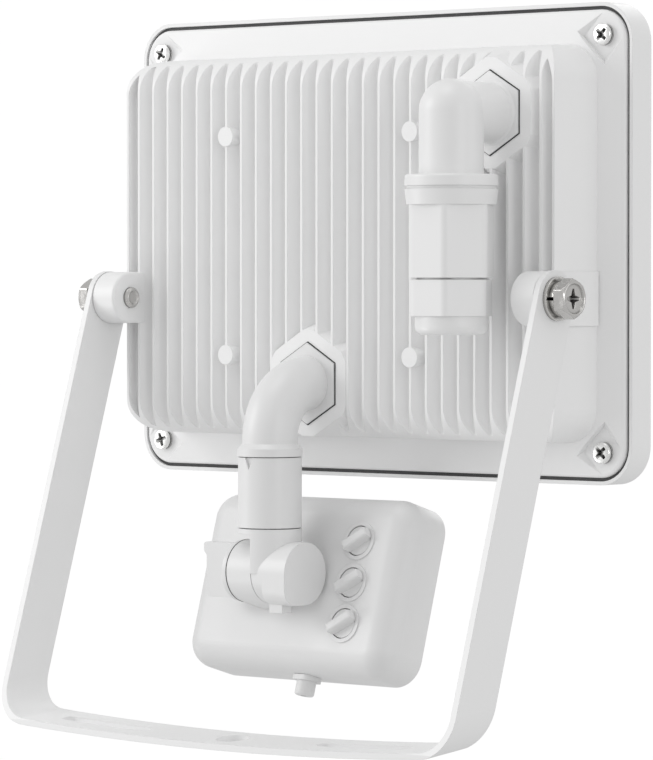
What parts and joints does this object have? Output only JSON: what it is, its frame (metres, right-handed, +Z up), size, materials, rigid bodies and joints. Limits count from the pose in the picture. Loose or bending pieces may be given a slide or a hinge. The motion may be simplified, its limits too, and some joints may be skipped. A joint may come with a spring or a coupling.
{
  "type": "motion sensor floodlight",
  "caption": "Flat finned floodlight on a bent-strip bracket, with an adjustable infrared motion sensor below it and a cable connector behind.",
  "frame": {"origin": "centre of the bracket's middle fixing hole, on the crossbar's outer face", "axes": "+Z up, +Y from the lamp's glass towards its back, +X along the bracket's pivot axis; the lamp's front faces -Y"},
  "size_m": [0.244, 0.1056, 0.2744],
  "materials": {
    "bracket_paint": "satin white powder coat on steel strip",
    "zinc_steel": "bright zinc-plated steel",
    "housing_paint": "satin white powder coat on die-cast aluminium",
    "frame_paint": "satin white powder coat",
    "clear_glass": "clear toughened glass",
    "black_rubber": "matt black silicone rubber",
    "board_white": "aluminium board under white solder mask",
    "led_yellow": "yellow phosphor in a white package",
    "chip_black": "moulded black epoxy",
    "terminal_plastic": "natural white nylon",
    "reflector_white": "gloss white plastic",
    "white_plastic": "fine satin white plastic",
    "nut_nylon": "natural nylon",
    "lens_milky": "milky white polyethylene lens",
    "board_green": "green circuit board",
    "can_nickel": "nickel-plated can",
    "photocell_red": "ceramic cell under clear lacquer",
    "relay_blue": "moulded blue cover",
    "can_black": "sleeved aluminium can",
    "trimmer_blue": "moulded blue trimmer"
  },
  "bodies": {
    "bracket": {"bracket": "bracket_paint", "pivot_bolts": "zinc_steel", "flat_washers": "zinc_steel", "spring_washers": "zinc_steel"},
    "lamp": {"housing": "housing_paint", "front_frame": "frame_paint", "front_glass": "clear_glass", "frame_gasket": "black_rubber", "frame_screws": "zinc_steel", "led_board": "board_white", "led_chips": "led_yellow", "driver_chips": "chip_black", "board_terminal": "terminal_plastic", "board_screws": "zinc_steel", "reflector": "reflector_white", "sensor_elbow": "white_plastic", "sensor_elbow_nut": "nut_nylon", "sensor_elbow_seal": "black_rubber", "cable_elbow": "white_plastic", "cable_elbow_nut": "nut_nylon", "cable_elbow_seal": "black_rubber", "connector_collar": "white_plastic", "connector_body": "white_plastic", "connector_nut": "white_plastic", "connector_seal": "black_rubber", "terminal_block": "terminal_plastic"},
    "sensor_arm": {"sensor_sleeve": "white_plastic", "swivel_knuckle": "white_plastic"},
    "sensor_head": {"sensor_rear_case": "white_plastic", "sensor_cover": "white_plastic", "sensor_lens": "lens_milky", "sensor_board": "board_green", "pir_detector": "can_nickel", "photocell": "photocell_red", "relay": "relay_blue", "capacitors": "can_black", "potentiometers": "trimmer_blue", "drain_vent": "white_plastic", "thumb_washer": "zinc_steel"},
    "tilt_thumbscrew": {"tilt_thumbscrew": "white_plastic"},
    "light_knob": {"light_knob": "white_plastic"},
    "time_knob": {"time_knob": "white_plastic"},
    "range_knob": {"range_knob": "white_plastic"}
  },
  "joints": [
    {"name": "lamp_tilt", "type": "hinge", "parent": "bracket", "child": "lamp", "pos_m": [0, -0.0495, 0.1648], "axis": [1, 0, 0], "range_deg": [-150, 25]},
    {"name": "sensor_pan", "type": "hinge", "parent": "lamp", "child": "sensor_arm", "pos_m": [0.012, -0.034, 0.1054], "axis": [0, 0, 1], "range_deg": [-80, 80]},
    {"name": "sensor_tilt", "type": "hinge", "parent": "sensor_arm", "child": "sensor_head", "pos_m": [0.012, -0.0344, 0.0618], "axis": [1, 0, 0], "range_deg": [-12, 50]},
    {"name": "thumbscrew_turn", "type": "hinge", "parent": "sensor_head", "child": "tilt_thumbscrew", "pos_m": [0.03, -0.0344, 0.0618], "axis": [1, 0, 0], "range_deg": [-90, 90]},
    {"name": "light_knob_turn", "type": "hinge", "parent": "sensor_head", "child": "light_knob", "pos_m": [-0.0172, -0.05152, 0.07383], "axis": [0, 0.9588, 0.284], "range_deg": [-135, 135]},
    {"name": "time_knob_turn", "type": "hinge", "parent": "sensor_head", "child": "time_knob", "pos_m": [-0.0172, -0.04695, 0.0584], "axis": [0, 0.9588, 0.284], "range_deg": [-135, 135]},
    {"name": "range_knob_turn", "type": "hinge", "parent": "sensor_head", "child": "range_knob", "pos_m": [-0.0172, -0.04249, 0.04334], "axis": [0, 0.9588, 0.284], "range_deg": [-135, 135]}
  ]
}
